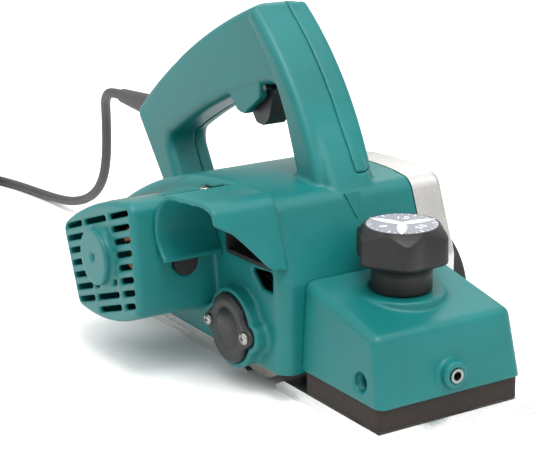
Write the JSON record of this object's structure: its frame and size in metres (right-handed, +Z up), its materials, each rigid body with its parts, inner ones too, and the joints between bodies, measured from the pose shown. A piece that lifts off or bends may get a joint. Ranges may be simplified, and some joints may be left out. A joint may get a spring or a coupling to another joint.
{
  "type": "electric hand planer",
  "caption": "Corded hand planer with a loop handle, side motor, belt-driven cutter drum, chip hood and a knob that raises the front base.",
  "frame": {"origin": "centre of the rear base's sole", "axes": "+X is the planing direction, +Z is up out of the work, and -Y is the operator's right, where the motor is"},
  "size_m": [0.5938, 0.1644, 0.1747],
  "materials": {
    "belt_rubber": "ribbed",
    "black_plastic": "satin",
    "blade_steel": "ground",
    "brass_insert": "turned",
    "carbon": "carbon",
    "cast_aluminium": "brushed casting",
    "copper_winding": "enamelled copper",
    "cord_rubber": "moulded rubber",
    "dark_steel": "blackened",
    "deflector_plastic": "satin",
    "dial_foil": "printed foil",
    "drum_aluminium": "turned",
    "housing_plastic": "fine satin texture",
    "knob_plastic": "fine texture",
    "lamination": "stacked laminations",
    "machined_aluminium": "machined",
    "nameplate_foil": "printed foil",
    "plug_brass": "nickel plated",
    "pulley_metal": "turned",
    "seal_foam": "foam rubber",
    "spring_steel": "drawn",
    "steel": "ground",
    "trigger_plastic": "satin",
    "zinc_screws": "zinc plated"
  },
  "bodies": {
    "root": {"bearing_cap": "black_plastic", "bearing_cap_screws": "zinc_screws", "belt_cover": "black_plastic", "belt_cover_screws": "zinc_screws", "brush_caps": "black_plastic", "brush_holders": "brass_insert", "brush_springs": "spring_steel", "brushes": "carbon", "chip_deflector": "deflector_plastic", "chip_duct": "black_plastic", "coil_tie": "black_plastic", "cord_clamp": "black_plastic", "cord_coil": "cord_rubber", "cord_guard": "cord_rubber", "cord_tail": "cord_rubber", "cord_tube": "cord_rubber", "deflector_screw": "zinc_screws", "drive_belt": "belt_rubber", "drum_bearings": "steel", "field_coils": "copper_winding", "frame_screws": "zinc_screws", "front_housing": "housing_plastic", "front_spring": "spring_steel", "handle_cover": "housing_plastic", "handle_screws": "zinc_screws", "main_housing": "housing_plastic", "motor_bearings": "steel", "nameplate": "nameplate_foil", "plug_body": "cord_rubber", "plug_pins": "plug_brass", "rear_base": "machined_aluminium", "rear_base_screws": "zinc_screws", "seal": "seal_foam", "side_frame": "cast_aluminium", "stator_core": "lamination", "switch_body": "black_plastic", "threaded_insert": "brass_insert", "trigger_pin": "steel", "trigger_spring": "spring_steel"},
    "front_base": {"front_base": "machined_aluminium", "guide_pins": "steel"},
    "depth_knob": {"knob": "knob_plastic", "knob_dial": "dial_foil", "depth_screw": "steel", "retaining_ring": "steel"},
    "trigger": {"trigger": "trigger_plastic"},
    "lock_button": {"lock_button": "trigger_plastic"},
    "drum": {"cutter_drum": "drum_aluminium", "blades": "blade_steel", "blade_clamps": "steel", "clamp_bolts": "dark_steel", "drum_shaft": "steel", "drum_pulley": "pulley_metal", "pulley_nut": "dark_steel"},
    "armature": {"armature_shaft": "steel", "armature_core": "lamination", "armature_winding": "copper_winding", "commutator": "copper_winding", "fan": "black_plastic", "motor_pulley": "pulley_metal"}
  },
  "joints": [
    {"name": "knob_turn", "type": "hinge", "parent": "root", "child": "depth_knob", "pos_m": [0.149, 0, 0.07], "axis": [0, 0, 1], "range_deg": [0, 300]},
    {"name": "front_base_lift", "type": "slide", "parent": "root", "child": "front_base", "axis": [0, 0, 1], "range_m": [0, 0.001], "deforming": ["seal", "front_spring"]},
    {"name": "trigger_pull", "type": "hinge", "parent": "root", "child": "trigger", "pos_m": [0.05, 0, 0.134], "axis": [0, 1, 0], "range_deg": [0, 10], "stiffness_Nm_per_rad": 0.7, "deforming": ["trigger_spring"]},
    {"name": "lock_button_press", "type": "slide", "parent": "root", "child": "lock_button", "axis": [0, -1, 0], "range_m": [0, 0.003], "stiffness_N_per_m": 300},
    {"name": "drum_spin", "type": "hinge", "parent": "root", "child": "drum", "pos_m": [0.09, 0, 0.029], "axis": [0, 1, 0], "continuous": true},
    {"name": "armature_spin", "type": "hinge", "parent": "root", "child": "armature", "pos_m": [0.029, 0, 0.0565], "axis": [0, 1, 0], "continuous": true}
  ],
  "couplings": [
    {"joint": "knob_turn", "follows": "front_base_lift", "rad_per_m": 5235.5},
    {"joint": "armature_spin", "follows": "drum_spin", "ratio": 1.7895}
  ]
}
